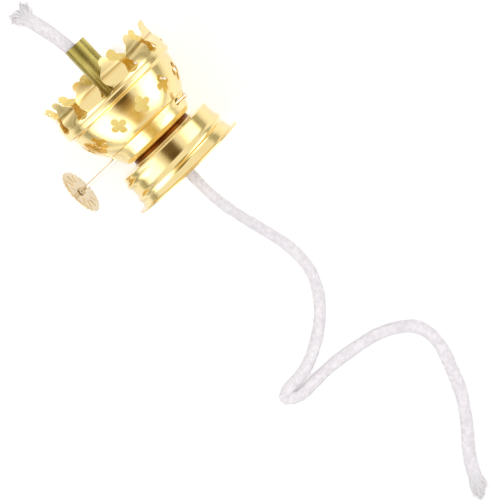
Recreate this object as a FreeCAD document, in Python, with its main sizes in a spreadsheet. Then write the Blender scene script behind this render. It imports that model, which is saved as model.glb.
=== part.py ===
import FreeCAD
import Part
import Sketcher
import math
import os
import re

from FreeCAD import Placement, Rotation, Vector

# Oil lamp burner with a round wick, lying on its side as it does beside its font.
# Each piece is drawn upright, with the burner's axis along Z and the cap's flange on Z = 0,
# then laid down so that the axis runs along X, crown towards +X.
# Lengths are in millimetres and angles in degrees.

SIZES = (
    # Chimney basket: a cup of sheet brass with sprung prongs round its rim
    ("prong_count", 12, "prongs, and as many pierced quatrefoils below them"),
    ("crown_turn", 2.3, "gaps and quatrefoils, turned about the axis"),
    ("basket_wall", 0.3, "sheet"),
    ("basket_hole_radius", 8.9, "hole in the basket's floor"),
    ("basket_floor_height", 15.0, "underside of the floor"),
    ("basket_floor_radius", 12.1, "where the floor turns up"),
    ("plate_seat_radius", 13.72, "wall at the air plate's height"),
    ("plate_seat_rise", 2.15, "air plate's middle above the floor's underside"),
    ("basket_shoulder_radius", 15.8, "wall where the bead begins"),
    ("shoulder_rise", 9.2, "same, above the floor's underside"),
    ("lower_wall_bulge_share", 0.024, "bow of the wall below the air plate, of its chord"),
    ("upper_wall_bulge_share", 0.063, "bow of the wall above it, of its chord"),
    ("ledge_radius", 16.2, "outer edge of the ledge that the chimney stands on"),
    ("ledge_rise", 0.5, "chimney ledge above the shoulder"),
    ("bead_radius", 16.9, "bead round the basket's rim"),
    ("bead_rise", 1.3, "top of the bead above the ledge"),
    ("bead_bulge_share", 0.18, "bow of the bead, of its chord"),
    ("prong_foot_radius", 16.93, "where the prongs leave the bead"),
    ("prong_foot_rise", 0.7, "same, above the bead's top"),
    ("waist_radius", 15.95, "narrow waist of the prongs, which grips the chimney"),
    ("belly_rise", 3.9, "lower end of the waist above the prongs' feet"),
    ("waist_length", 0.6, "straight length of the waist"),
    ("belly_bulge_share", 0.036, "inward bow of the prongs' belly, of its chord"),
    ("tip_radius", 16.95, "prong tips"),
    ("flare_rise", 3.1, "same, above the waist"),
    ("flare_bulge_share", 0.065, "inward bow of the flared tips, of their chord"),
    # Gap between two prongs, half-widths from its middle, each place above the one before
    ("gap_bottom_half", 1.8, "round bottom of a gap"),
    ("gap_bottom_rise", 0.6, "same, above the prongs' feet"),
    ("gap_bottom_bulge_share", 0.222, "bow of the bottom, of its chord"),
    ("gap_belly_half", 0.96, "narrowest place, between two bellies"),
    ("gap_belly_rise", 2.3, "same, rise"),
    ("gap_belly_bulge_share", 0.03, "bow below the narrowest place, of its chord"),
    ("gap_eye_half", 2.32, "between two necks"),
    ("gap_eye_rise", 2.0, "same, rise"),
    ("gap_eye_bulge_share", 0.197, "bow of the bellies' upper round, of its chord"),
    ("gap_neck_half", 3.05, "beside the necks"),
    ("gap_neck_rise", 1.7, "same, rise"),
    ("gap_neck_bulge_share", 0.086, "bow of the neck's side, of its chord"),
    ("gap_top_half", 4.42, "at the tips"),
    ("gap_top_rise", 1.1, "same, rise"),
    ("gap_top_bulge_share", 0.195, "bow of the round tips, of its chord"),
    # Quatrefoil: four round lobes about a middle
    ("foil_rise", 4.65, "middle of the quatrefoils above the floor's underside"),
    ("foil_half_width", 2.2, "side lobes' outermost points from the middle"),
    ("foil_half_height", 2.3, "upper and lower lobes' outermost points from the middle"),
    ("foil_corner", 0.72, "inner corners between lobes, across and along"),
    # Air plate: cone round the wick tube inside the basket, with a pierced flat top
    ("air_plate_thickness", 0.3, "sheet"),
    ("air_plate_gap", 0.12, "room between the plate's edge and the basket"),
    ("air_plate_rise", 5.4, "flat top above the edge"),
    ("air_top_radius", 7.8, "flat top"),
    ("air_hole_radius", 0.6, "draught holes in the flat top"),
    ("outer_hole_count", 12, "draught holes in the outer ring"),
    ("outer_hole_circle", 6.75, "radius of the outer ring"),
    ("inner_hole_count", 9, "draught holes in the inner ring"),
    ("inner_hole_circle", 4.9, "radius of the inner ring"),
    # Base cup: lower bowl with the neck that is staked into the cap
    ("cup_wall", 0.35, "sheet"),
    ("cup_rim_radius", 12.3, "rim under the basket's floor"),
    ("cup_side_drop", 0.6, "height of the rim"),
    ("cup_side_radius", 12.2, "below the rim"),
    ("cup_foot_radius", 9.2, "foot of the bowl"),
    ("cup_foot_height", 10.15, "same, height"),
    ("cup_bulge_share", 0.11, "bow of the bowl, of its chord"),
    ("neck_radius", 8.6, "neck through the cap's top"),
    ("neck_top_height", 9.8, "top of the neck"),
    ("lip_radius", 9.2, "lip rolled out under the cap's top"),
    ("lip_thickness", 0.35, "same, thickness"),
    ("slot_half_width", 1.7, "shaft slot across the shaft"),
    ("slot_round_radius", 0.85, "half the slot's height"),
    # Neck ring and deck plate
    ("neck_ring_radius", 9.25, "washer between the cup and the cap"),
    ("neck_ring_thickness", 0.4, "same, thickness"),
    ("neck_clearance", 0.05, "round the neck"),
    ("deck_height", 9.3, "underside of the plate that carries the tube"),
    ("deck_thickness", 0.5, "same, thickness"),
    ("vent_radius", 0.8, "vent hole in the deck"),
    ("vent_reach", 5.6, "vent hole from the axis"),
    # Screw cap
    ("cap_wall", 0.4, "sheet"),
    ("cap_top_height", 9.2, "top at the neck"),
    ("cap_edge_radius", 12.95, "outer edge of the flat top"),
    ("cap_edge_drop", 0.1, "fall of the top from the neck to the seat"),
    ("cap_corner_drop", 0.7, "height of the rounded corner below the top"),
    ("cap_seat_radius", 11.0, "inner edge of the flat seat for the font's rim"),
    ("cap_corner_bulge_share", 0.2, "bow of the corner, of its chord"),
    ("skirt_radius", 13.55, "skirt, thread valley"),
    ("skirt_flare_height", 3.0, "where the skirt widens"),
    ("skirt_foot_radius", 14.25, "foot of the skirt"),
    ("skirt_foot_height", 2.4, "same, height"),
    ("flange_radius", 16.35, "flange"),
    ("flange_thickness", 0.5, "same, thickness"),
    ("thread_pitch", 4.23, "six turns to the inch"),
    ("thread_height", 3.2, "middle of the ridge at its start"),
    ("ridge_rise", 4.3, "rise of the ridge from its start to its end"),
    ("groove_start_rise", 0.8, "rise of the ridge before the groove inside it starts"),
    ("groove_rise", 3.0, "rise of the groove"),
    ("thread_crest_radius", 14.3, "crest of the rolled thread"),
    ("thread_crest_half", 0.4, "half the thread's width at its crest"),
    ("thread_flank_share", 0.75, "rise of a flank along the axis, of its depth"),
    ("thread_start_angle", 71.5, "start of the ridge round the axis"),
    # Wick tube
    ("tube_radius", 2.95, "wick tube"),
    ("tube_wall", 0.3, "same, sheet"),
    ("tube_bottom", 5.5, "lower end"),
    ("tube_top", 41.0, "upper end"),
    ("tube_clearance", 0.04, "round the tube in the deck and air plate"),
    ("window_half_width", 0.8, "window for the spur wheel"),
    ("window_half_height", 2.6, "same, half its height"),
    # Raiser: shaft, spur wheel and thumb wheel on one line beside the tube
    ("raiser_slope", 11.5, "shaft below the level, seen along the axis"),
    ("raiser_offset", 4.2, "shaft line from the burner's axis"),
    ("raiser_height", 14.0, "shaft above the flange"),
    ("shaft_radius", 0.575, "shaft"),
    ("shaft_tail", 13.9, "shaft's length past the tube to its headed end"),
    ("shaft_head_radius", 0.75, "headed end"),
    ("shaft_head_length", 0.6, "same, length"),
    ("rivet_radius", 0.9, "rivet head over the thumb wheel"),
    ("rivet_thickness", 0.3, "same, thickness"),
    ("fit_clearance", 0.01, "between pieces pressed on the shaft and the shaft"),
    ("spur_radius", 2.4, "spur wheel over its teeth"),
    ("spur_thickness", 1.2, "same, thickness"),
    ("spur_tooth_count", 9, "teeth"),
    ("spur_tooth_depth", 0.7, "same, depth"),
    ("spur_notch_half", 0.62, "half the width between two tooth tips"),
    ("wheel_reach", 23.1, "thumb wheel's inner face along the shaft"),
    ("wheel_radius", 6.2, "thumb wheel"),
    ("wheel_thickness", 0.45, "same, thickness"),
    ("scallop_count", 24, "scallops round the thumb wheel"),
    ("scallop_radius", 0.5, "same, radius"),
    ("scallop_depth", 0.26, "same, depth"),
    ("ray_count", 12, "embossed rays on the thumb wheel"),
    ("ray_start", 2.9, "inner end of a ray"),
    ("ray_length", 2.3, "same, length"),
    ("ray_half_width", 0.26, "same, half its width"),
    ("ray_relief", 0.12, "same, height"),
    ("collar_radius", 1.0, "boss behind the thumb wheel"),
    ("collar_length", 0.8, "same, length"),
    # Spur bracket
    ("bracket_inner_half", 0.95, "inside of the bracket's cheeks from the spur wheel's middle"),
    ("bracket_sheet", 0.5, "sheet of the cheeks"),
    ("bracket_web_reach", 6.9, "inside of the web from the burner's axis"),
    ("bracket_web_sheet", 0.4, "sheet of the web"),
    ("bracket_half_height", 2.8, "half its height"),
    ("shaft_clearance", 0.05, "shaft's running clearance in the cheeks"),
    # Wick
    ("wick_radius", 1.5, "wick"),
    ("wick_offset", 0.8, "wick's middle from the axis, towards the thumb wheel"),
    ("wick_bend_rise", 1.5, "where the stub begins to lean, above the tube"),
    ("wick_stub_rise", 11.0, "end of the sound wick above that"),
    ("wick_lean", 1.5, "how far the stub leans out by then"),
    ("fray_length", 3.4, "frayed upper end"),
    ("fray_half_width", 1.75, "same, half its greatest width"),
    ("fray_end_half", 0.9, "same, half its width at the end"),
    ("tail_first_run", 7.5, "straight run out of the tube"),
    ("tail_fray_length", 4.9, "frayed lower end"),
    ("tail_fray_half_width", 2.3, "same, half its greatest width"),
    ("tail_fray_end_half", 1.0, "same, half its width at the end"),
    ("fray_swell_share", 0.4, "greatest width along a frayed end, of its length"),
    ("fray_depth_share", 0.85, "depth of the upper frayed end, of its width"),
    ("tail_fray_depth_share", 0.56, "depth of the lower frayed end, of its width"),
    # Overrun of every cut past the piece that it cuts
    ("overrun", 1.0, "overrun of cuts"),
)

# Middle line of the wick below the burner, after its first straight run out of the tube. X runs from
# the flange's plane towards the crown, Y from the axis towards the thumb wheel and Z up from the table.
TAIL_POINTS = (
    (-9.5, 0.8, 15.6),
    (-17.0, 0.1, 10.6),
    (-24.5, -1.7, 4.6),
    (-32.5, -3.4, 1.5),
    (-41.0, -3.4, 1.5),
    (-48.2, 0.1, 1.5),
    (-53.4, 5.8, 1.5),
    (-56.6, 12.4, 1.5),
    (-57.7, 17.4, 1.5),
    (-58.0, 21.9, 1.5),
    (-61.4, 23.8, 1.5),
    (-64.9, 21.8, 1.5),
    (-64.4, 16.9, 1.5),
    (-63.2, 10.4, 1.5),
    (-63.6, 3.3, 1.5),
    (-65.4, -4.4, 1.5),
    (-68.9, -11.6, 1.5),
    (-73.7, -14.7, 1.5),
    (-79.3, -14.9, 1.5),
    (-84.6, -12.1, 1.5),
    (-90.8, -9.3, 1.5),
    (-98.0, -4.6, 1.5),
    (-105.0, 1.3, 1.5),
    (-109.6, 4.4, 1.5),
)
# Share of the shorter of two runs that an arc of the wick uses up
RUN_SHARE = 0.45

# Bow of a half circle, as a share of its chord
HALF_CIRCLE_SHARE = "1 / 2"

# Heights on the wick's stub, and the bow of an arc that starts along the axis and leans over between them
STUB_BEND = "tube_top + wick_bend_rise"
STUB_END = STUB_BEND + " + wick_stub_rise"
STUB_BOW_SHARE = "tan(atan(wick_lean / wick_stub_rise) / 2) / 2"

# Names of the vertices of sketch geometry
ORIGIN = (-1, 1)
CENTRE = 3

document = FreeCAD.newDocument("OilLampBurner")
sheet = document.addObject("Spreadsheet::Sheet", "Sizes")
for row, (alias, value, note) in enumerate(SIZES, start=1):
    sheet.set("A%d" % row, note)
    sheet.set("B%d" % row, str(value))
    sheet.setAlias("B%d" % row, alias)
document.recompute()

ALIASES = {alias for alias, value, note in SIZES}


def bound(formula):
    """The formula with each size's name pointing at its cell."""
    return re.sub(r"[a-z_]+", lambda word: "Sizes." + word[0] if word[0] in ALIASES else word[0], formula)


def size(formula):
    """Present value of a formula."""
    return float(sheet.evalExpression(bound(formula)))


def tie(thing, field, formula):
    """Binds a property of an object to a formula."""
    thing.setExpression(field, bound(formula))


def new_body(label):
    body = document.addObject("PartDesign::Body", label)
    body.Label = label
    return body


def origin_part(body, role):
    """Plane or axis of the body's own origin."""
    return next(feature for feature in body.Origin.OriginFeatures if feature.Role == role)


def new_sketch(body, name, role, lift="0", turn="0", turn_axis=Vector(0, 0, 1)):
    """Sketch on one of the body's origin planes, lifted off it and turned about an axis of its own."""
    sketch = body.newObject("Sketcher::SketchObject", name)
    sketch.AttachmentSupport = [(origin_part(body, role), "")]
    sketch.MapMode = "FlatFace"
    sketch.AttachmentOffset = Placement(Vector(0, 0, 0), Rotation(turn_axis, 1))
    tie(sketch, "AttachmentOffset.Base.z", lift)
    tie(sketch, "AttachmentOffset.Rotation.Angle", turn)
    return sketch


def pin(sketch, geometry, vertex, x, y):
    """Fixes a vertex of a sketch at two formulas."""
    across = sketch.addConstraint(Sketcher.Constraint("DistanceX", *ORIGIN, geometry, vertex, size(x)))
    tie(sketch, "Constraints[%d]" % across, x)
    along = sketch.addConstraint(Sketcher.Constraint("DistanceY", *ORIGIN, geometry, vertex, size(y)))
    tie(sketch, "Constraints[%d]" % along, y)


def circle(sketch, radius, x="0", y="0"):
    """Circle about a point."""
    middle = Vector(size(x), size(y), 0)
    geometry = sketch.addGeometry(Part.Circle(middle, Vector(0, 0, 1), size(radius)), False)
    pin(sketch, geometry, CENTRE, x, y)
    index = sketch.addConstraint(Sketcher.Constraint("Radius", geometry, size(radius)))
    tie(sketch, "Constraints[%d]" % index, radius)
    return geometry


def edge(sketch, start, end):
    """Line or arc between two corners. The end's third entry is the arc's bow to its right, in chords."""
    first = Vector(size(start[0]), size(start[1]), 0)
    last = Vector(size(end[0]), size(end[1]), 0)
    if len(end) == 2:
        geometry = sketch.addGeometry(Part.LineSegment(first, last), False)
        return geometry, 1, 2
    via_x = "((%s) + (%s)) / 2 + (%s) * ((%s) - (%s))" % (start[0], end[0], end[2], end[1], start[1])
    via_y = "((%s) + (%s)) / 2 - (%s) * ((%s) - (%s))" % (start[1], end[1], end[2], end[0], start[0])
    via = Vector(size(via_x), size(via_y), 0)
    geometry = sketch.addGeometry(Part.Arc(first, via, last), False)
    mark = sketch.addGeometry(Part.Point(via), True)
    pin(sketch, mark, 1, via_x, via_y)
    sketch.addConstraint(Sketcher.Constraint("PointOnObject", mark, 1, geometry))
    near_first = sketch.getPoint(geometry, 1).distanceToPoint(first)
    near_last = sketch.getPoint(geometry, 1).distanceToPoint(last)
    if near_first < near_last:
        return geometry, 1, 2
    return geometry, 2, 1


def path(sketch, corners, closed=False):
    """Edges from corner to corner, each vertex fixed at its formulas."""
    steps = list(zip(corners, corners[1:]))
    if closed:
        steps.append((corners[-1], corners[0]))
    ends = [edge(sketch, start, end) for start, end in steps]
    for (start, end), (geometry, first, last) in zip(steps, ends):
        pin(sketch, geometry, first, start[0], start[1])
    for (before, first, last), (after, start, end) in zip(ends, ends[1:]):
        sketch.addConstraint(Sketcher.Constraint("Coincident", before, last, after, start))
    if closed:
        last, opening = ends[-1], ends[0]
        sketch.addConstraint(Sketcher.Constraint("Coincident", last[0], last[2], opening[0], opening[1]))
    else:
        pin(sketch, ends[-1][0], ends[-1][2], corners[-1][0], corners[-1][1])


def outline(sketch, corners):
    path(sketch, corners, closed=True)


def revolve(body, sketch):
    """Solid of revolution about the sketch's upright axis."""
    feature = body.newObject("PartDesign::Revolution", body.Label + "_turned")
    feature.Profile = sketch
    feature.ReferenceAxis = (sketch, ["V_Axis"])
    feature.Angle = 360
    body.Tip = feature
    document.recompute()
    return feature


def turned_cut(body, sketch):
    """Groove all round; it must take something away."""
    before = body.Shape.Volume
    feature = body.newObject("PartDesign::Groove", sketch.Name + "_cut")
    feature.Profile = sketch
    feature.ReferenceAxis = (sketch, ["V_Axis"])
    feature.Angle = 360
    body.Tip = feature
    document.recompute()
    if not body.Shape.Volume < before:
        raise RuntimeError("%s cuts nothing" % sketch.Name)


def pad(body, sketch, length):
    feature = body.newObject("PartDesign::Pad", sketch.Name + "_pad")
    feature.Profile = sketch
    tie(feature, "Length", length)
    body.Tip = feature
    document.recompute()
    return feature


def pocket(body, sketch, length, midplane=False, reverse=False):
    """Cut from the sketch's plane; it must take something away."""
    before = body.Shape.Volume
    feature = body.newObject("PartDesign::Pocket", sketch.Name + "_cut")
    feature.Profile = sketch
    tie(feature, "Length", length)
    feature.Midplane = midplane
    feature.Reversed = reverse
    body.Tip = feature
    document.recompute()
    if not body.Shape.Volume < before:
        raise RuntimeError("%s cuts nothing" % sketch.Name)
    return feature


def round_copies(body, feature, count):
    """Equal copies of a feature round the body's Z axis."""
    pattern = body.newObject("PartDesign::PolarPattern", feature.Name + "_round")
    pattern.Originals = [feature]
    pattern.Axis = (origin_part(body, "Z_Axis"), [""])
    pattern.Angle = 360
    tie(pattern, "Occurrences", count)
    body.Tip = pattern
    document.recompute()
    return pattern


def mirrored(corners):
    """Right-hand corners, listed upwards, followed by their mirror images, listed downwards."""
    images = []
    bow = ()
    for corner in reversed(corners):
        images.append(("-(%s)" % corner[0], corner[1]) + bow)
        bow = tuple(corner[2:])
    return list(corners) + images


def washer(label, outer, inner, bottom, thickness):
    """Flat ring."""
    body = new_body(label)
    sketch = new_sketch(body, label + "_outline", "XY_Plane", lift=bottom)
    circle(sketch, outer)
    circle(sketch, inner)
    pad(body, sketch, thickness)
    return body


def crown_basket():
    """Basket, bead and prongs, spun as one sheet and then pierced."""
    body = new_body("crown_basket")
    sheet_profile = new_sketch(body, "basket_profile", "XZ_Plane")
    seat_height = "basket_floor_height + plate_seat_rise"
    shoulder = "basket_floor_height + shoulder_rise"
    ledge = shoulder + " + ledge_rise"
    bead = ledge + " + bead_rise"
    foot = bead + " + prong_foot_rise"
    waist = foot + " + belly_rise"
    waist_top = waist + " + waist_length"
    tip = waist_top + " + flare_rise"
    outline(sheet_profile, [
        ("basket_hole_radius", "basket_floor_height"),
        ("basket_floor_radius", "basket_floor_height"),
        ("plate_seat_radius", seat_height, "lower_wall_bulge_share"),
        ("basket_shoulder_radius", shoulder, "upper_wall_bulge_share"),
        ("ledge_radius", ledge + " - basket_wall"),
        ("bead_radius", bead, "bead_bulge_share"),
        ("prong_foot_radius", foot),
        ("waist_radius", waist, "-belly_bulge_share"),
        ("waist_radius", waist_top),
        ("tip_radius", tip, "-flare_bulge_share"),
        ("tip_radius - basket_wall", tip),
        ("waist_radius - basket_wall", waist_top, "flare_bulge_share"),
        ("waist_radius - basket_wall", waist),
        ("prong_foot_radius - basket_wall", foot, "belly_bulge_share"),
        ("bead_radius - basket_wall", bead),
        ("ledge_radius", ledge, "-bead_bulge_share"),
        ("basket_shoulder_radius - basket_wall", ledge),
        ("basket_shoulder_radius - basket_wall", shoulder),
        ("plate_seat_radius - basket_wall", seat_height, "-upper_wall_bulge_share"),
        ("basket_floor_radius - basket_wall", "basket_floor_height + basket_wall",
         "-lower_wall_bulge_share"),
        ("basket_hole_radius", "basket_floor_height + basket_wall"),
    ])
    revolve(body, sheet_profile)

    gap_profile = new_sketch(body, "gap_profile", "XZ_Plane",
                             turn="crown_turn", turn_axis=Vector(0, 1, 0))
    gap_bottom = foot + " + gap_bottom_rise"
    gap_belly = gap_bottom + " + gap_belly_rise"
    gap_eye = gap_belly + " + gap_eye_rise"
    gap_neck = gap_eye + " + gap_neck_rise"
    outline(gap_profile, mirrored([
        ("gap_bottom_half", gap_bottom, "gap_bottom_bulge_share"),
        ("gap_belly_half", gap_belly, "gap_belly_bulge_share"),
        ("gap_eye_half", gap_eye, "-gap_eye_bulge_share"),
        ("gap_neck_half", gap_neck, "gap_neck_bulge_share"),
        ("gap_top_half", gap_neck + " + gap_top_rise", "-gap_top_bulge_share"),
        ("gap_top_half", tip + " + gap_top_rise + overrun"),
    ]))
    gap = pocket(body, gap_profile, "bead_radius + overrun")
    round_copies(body, gap, "prong_count")

    foil_profile = new_sketch(body, "foil_profile", "XZ_Plane",
                              turn="crown_turn + 180 / prong_count", turn_axis=Vector(0, 1, 0))
    side_bow = "(foil_half_width - foil_corner) / (2 * foil_corner)"
    rise_bow = "(foil_half_height - foil_corner) / (2 * foil_corner)"
    low = "basket_floor_height + foil_rise - foil_corner"
    high = "basket_floor_height + foil_rise + foil_corner"
    outline(foil_profile, [
        ("foil_corner", low, rise_bow),
        ("foil_corner", high, side_bow),
        ("-foil_corner", high, rise_bow),
        ("-foil_corner", low, side_bow),
    ])
    foil = pocket(body, foil_profile, "bead_radius + overrun")
    round_copies(body, foil, "prong_count")
    return body


def hole_ring(body, name, count, pitch_radius, radius, bottom, thickness):
    """Ring of round holes through a plate."""
    sketch = new_sketch(body, name, "XY_Plane", lift="%s - overrun" % bottom)
    circle(sketch, radius, x=pitch_radius)
    hole = pocket(body, sketch, "%s + 2 * overrun" % thickness, reverse=True)
    round_copies(body, hole, count)


def air_plate():
    """Draught cone round the wick tube, seated where the basket's wall turns up."""
    body = new_body("air_plate")
    bottom = "basket_floor_height + plate_seat_rise - air_plate_thickness / 2"
    top = bottom + " + air_plate_rise"
    edge_radius = "plate_seat_radius - basket_wall - air_plate_gap"
    bore = "tube_radius + tube_clearance"
    profile = new_sketch(body, "air_plate_profile", "XZ_Plane")
    outline(profile, [
        (bore, top + " + air_plate_thickness"),
        (bore, top),
        ("air_top_radius - air_plate_thickness / 2", top),
        (edge_radius + " - air_plate_thickness / 2", bottom),
        (edge_radius, bottom),
        (edge_radius, bottom + " + air_plate_thickness / 2"),
        ("air_top_radius", top + " + air_plate_thickness"),
    ])
    revolve(body, profile)
    hole_ring(body, "outer_holes", "outer_hole_count", "outer_hole_circle", "air_hole_radius",
              top, "air_plate_thickness")
    hole_ring(body, "inner_holes", "inner_hole_count", "inner_hole_circle", "air_hole_radius",
              top, "air_plate_thickness")
    return body


def base_cup():
    """Bowl under the basket, its neck and the two slots for the raiser's shaft."""
    body = new_body("base_cup")
    profile = new_sketch(body, "cup_profile", "XZ_Plane")
    lip_top = "cap_top_height - cap_wall"
    outline(profile, [
        ("cup_rim_radius", "basket_floor_height"),
        ("cup_rim_radius - cup_wall", "basket_floor_height"),
        ("cup_side_radius - cup_wall", "basket_floor_height - cup_side_drop"),
        ("cup_foot_radius - cup_wall", "cup_foot_height", "-cup_bulge_share"),
        ("neck_radius - cup_wall", "neck_top_height"),
        ("neck_radius - cup_wall", lip_top + " - lip_thickness"),
        ("lip_radius", lip_top + " - lip_thickness"),
        ("lip_radius", lip_top),
        ("neck_radius", lip_top),
        ("neck_radius", "neck_top_height"),
        ("cup_foot_radius", "cup_foot_height"),
        ("cup_side_radius", "basket_floor_height - cup_side_drop", "cup_bulge_share"),
    ])
    revolve(body, profile)

    slot = new_sketch(body, "shaft_slot", "YZ_Plane", turn="-raiser_slope", turn_axis=Vector(0, 1, 0))
    straight = "slot_half_width - slot_round_radius"
    low = "raiser_height - slot_round_radius"
    high = "raiser_height + slot_round_radius"
    outline(slot, [
        ("raiser_offset - (%s)" % straight, low, HALF_CIRCLE_SHARE),
        ("raiser_offset + %s" % straight, low),
        ("raiser_offset + %s" % straight, high, HALF_CIRCLE_SHARE),
        ("raiser_offset - (%s)" % straight, high),
    ])
    pocket(body, slot, "2 * (cup_rim_radius + overrun)", midplane=True)
    return body


def screw_cap():
    """Cap with its flange and its rolled thread, a ridge outside and a groove inside."""
    body = new_body("screw_cap")
    seat = "cap_top_height - cap_edge_drop"
    corner = "cap_top_height - cap_corner_drop"
    outside = new_sketch(body, "cap_outside", "XZ_Plane")
    outline(outside, [
        ("0", "0"),
        ("flange_radius", "0"),
        ("flange_radius", "flange_thickness"),
        ("skirt_foot_radius", "flange_thickness"),
        ("skirt_foot_radius", "skirt_foot_height"),
        ("skirt_radius", "skirt_flare_height"),
        ("skirt_radius", corner),
        ("cap_edge_radius", seat, "cap_corner_bulge_share"),
        ("cap_seat_radius", seat),
        ("lip_radius", "cap_top_height"),
        ("0", "cap_top_height"),
    ])
    revolve(body, outside)
    thread(body, "PartDesign::AdditiveHelix", "ridge", "skirt_radius - cap_wall", "thread_crest_radius",
           "0", "ridge_rise")

    inside = new_sketch(body, "cap_inside", "XZ_Plane")
    hole = "neck_radius + neck_clearance"
    outline(inside, [
        ("0", "-overrun"),
        ("skirt_foot_radius - cap_wall", "-overrun"),
        ("skirt_foot_radius - cap_wall", "skirt_foot_height - cap_wall / 2"),
        ("skirt_radius - cap_wall", "skirt_flare_height - cap_wall / 2"),
        ("skirt_radius - cap_wall", corner),
        ("cap_edge_radius - cap_wall / 2", seat + " - cap_wall", "cap_corner_bulge_share"),
        ("cap_seat_radius", seat + " - cap_wall"),
        ("lip_radius", "cap_top_height - cap_wall"),
        (hole, "cap_top_height - cap_wall"),
        (hole, "cap_top_height + overrun"),
        ("0", "cap_top_height + overrun"),
    ])
    turned_cut(body, inside)
    thread(body, "PartDesign::SubtractiveHelix", "groove", "skirt_radius - 3 * cap_wall / 2",
           "thread_crest_radius - cap_wall", "groove_start_rise", "groove_rise")
    return body


def thread(body, kind, name, root, crest, start_rise, rise):
    """Ridge or groove of the thread from its root radius out to its crest, along part of one helix."""
    profile = new_sketch(body, name + "_profile", "XZ_Plane", turn_axis=Vector(0, 1, 0),
                         turn="thread_start_angle + 360 * %s / thread_pitch" % start_rise)
    middle = "thread_height + %s" % start_rise
    root_half = "(thread_crest_half + thread_flank_share * (%s - (%s)))" % (crest, root)
    outline(profile, [
        (root, "%s - %s" % (middle, root_half)),
        (crest, "%s - thread_crest_half" % middle),
        (crest, "%s + thread_crest_half" % middle),
        (root, "%s + %s" % (middle, root_half)),
    ])
    document.recompute()
    before = body.Shape.Volume
    helix = body.newObject(kind, name)
    helix.Profile = profile
    helix.ReferenceAxis = (profile, ["V_Axis"])
    helix.Mode = "pitch-height-angle"
    tie(helix, "Pitch", "thread_pitch")
    tie(helix, "Height", rise)
    helix.Angle = 0
    helix.LeftHanded = False
    helix.Reversed = False
    body.Tip = helix
    document.recompute()
    print(name, "changes the cap's volume by", round(body.Shape.Volume - before, 2))


def wick_tube():
    """Tube with the window that the spur wheel reaches the wick through."""
    body = washer("wick_tube", "tube_radius", "tube_radius - tube_wall", "tube_bottom",
                  "tube_top - tube_bottom")
    window = new_sketch(body, "window", "XZ_Plane", turn="-raiser_slope", turn_axis=Vector(0, 1, 0))
    low = "raiser_height - window_half_height"
    high = "raiser_height + window_half_height"
    outline(window, [
        ("-window_half_width", low),
        ("window_half_width", low),
        ("window_half_width", high),
        ("-window_half_width", high),
    ])
    pocket(body, window, "tube_radius + overrun")
    return body


def deck_plate():
    """Plate in the neck that carries the tube, with its vent hole."""
    body = washer("deck_plate", "neck_radius - cup_wall - fit_clearance", "tube_radius + tube_clearance",
                  "deck_height", "deck_thickness")
    vent = new_sketch(body, "vent", "XY_Plane", lift="deck_height - overrun")
    circle(vent, "vent_radius", x="-vent_reach")
    pocket(body, vent, "deck_thickness + 2 * overrun", reverse=True)
    return body


def neck_ring():
    """Washer between the cup's bowl and the cap's top."""
    return washer("neck_ring", "neck_ring_radius", "neck_radius + neck_clearance", "cap_top_height",
                  "neck_ring_thickness")


def spur_bracket():
    """Folded clip on the tube; the raiser's shaft runs in its two cheeks."""
    body = new_body("spur_bracket")
    plan = new_sketch(body, "bracket_plan", "XY_Plane", lift="raiser_height - bracket_half_height",
                      turn="-raiser_slope")
    outer = "bracket_inner_half + bracket_sheet"
    back = "bracket_web_reach + bracket_web_sheet"
    outline(plan, [
        ("bracket_inner_half", "tube_radius / 2"),
        (outer, "tube_radius / 2"),
        (outer, back),
        ("-(%s)" % outer, back),
        ("-(%s)" % outer, "tube_radius / 2"),
        ("-bracket_inner_half", "tube_radius / 2"),
        ("-bracket_inner_half", "bracket_web_reach"),
        ("bracket_inner_half", "bracket_web_reach"),
    ])
    pad(body, plan, "2 * bracket_half_height")
    saddle = new_sketch(body, "saddle", "XY_Plane", lift="raiser_height - bracket_half_height - overrun")
    circle(saddle, "tube_radius + fit_clearance")
    pocket(body, saddle, "2 * (bracket_half_height + overrun)", reverse=True)
    bearing = new_sketch(body, "bearing", "YZ_Plane", turn="-raiser_slope", turn_axis=Vector(0, 1, 0))
    circle(bearing, "shaft_radius + shaft_clearance", x="raiser_offset", y="raiser_height")
    pocket(body, bearing, "2 * (%s + overrun)" % outer, midplane=True)
    return body


def raiser_shaft():
    """Axle with an upset end on one side and a rivet head outside the thumb wheel."""
    body = new_body("raiser_shaft")
    profile = new_sketch(body, "shaft_profile", "XZ_Plane")
    face = "wheel_reach + wheel_thickness"
    outline(profile, [
        ("0", "-shaft_tail"),
        ("shaft_head_radius", "-shaft_tail"),
        ("shaft_head_radius", "shaft_head_length - shaft_tail"),
        ("shaft_radius", "shaft_head_length - shaft_tail"),
        ("shaft_radius", face),
        ("rivet_radius", face),
        ("rivet_radius", face + " + rivet_thickness / 2"),
        ("shaft_radius", face + " + rivet_thickness"),
        ("0", face + " + rivet_thickness"),
    ])
    revolve(body, profile)
    return body


def spur_wheel():
    """Toothed wheel that bites into the wick."""
    body = washer("spur_wheel", "spur_radius", "shaft_radius + fit_clearance", "-spur_thickness / 2",
                  "spur_thickness")
    notch = new_sketch(body, "notch", "XY_Plane", lift="-spur_thickness / 2 - overrun")
    tip = "spur_radius + overrun"
    half = "spur_notch_half * (spur_tooth_depth + overrun) / spur_tooth_depth"
    outline(notch, [
        ("spur_radius - spur_tooth_depth", "0"),
        (tip, "-(%s)" % half),
        (tip, half),
    ])
    cut = pocket(body, notch, "spur_thickness + 2 * overrun", reverse=True)
    round_copies(body, cut, "spur_tooth_count")
    return body


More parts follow.
